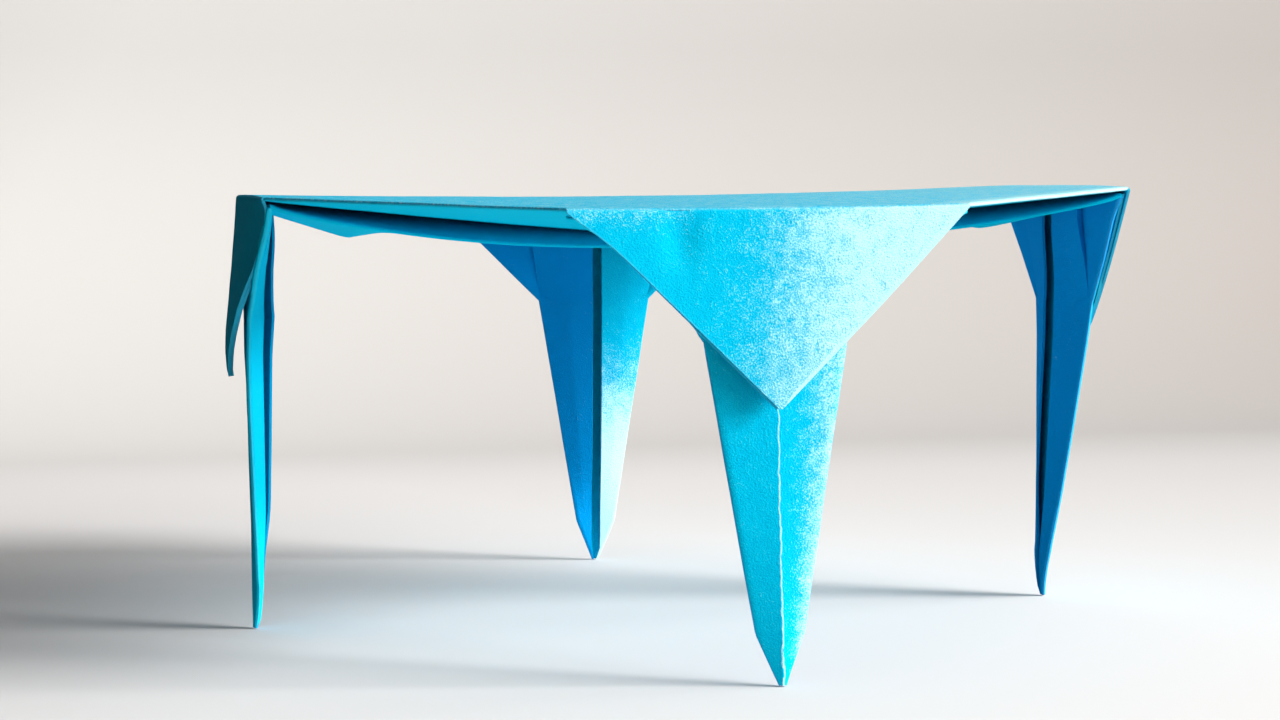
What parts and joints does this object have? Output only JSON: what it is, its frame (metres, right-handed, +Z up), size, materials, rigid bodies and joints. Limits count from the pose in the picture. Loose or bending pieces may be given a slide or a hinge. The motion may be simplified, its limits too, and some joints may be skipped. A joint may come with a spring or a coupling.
{
  "type": "origami table",
  "caption": "Small octagonal table folded from a single square sheet of blue paper, with pointed corner flaps over narrow tapering legs.",
  "frame": {"origin": "middle of the feet, on the surface the table stands on", "axes": "+Z up out of the table top, -Y out of the front flap, +X out of the right flap"},
  "size_m": [0.0778, 0.0778, 0.0375],
  "materials": {
    "paper": "matt coloured paper, slightly fibrous, with worn pale creases"
  },
  "bodies": {
    "root": {"folded_sheet": "paper"}
  },
  "joints": []
}
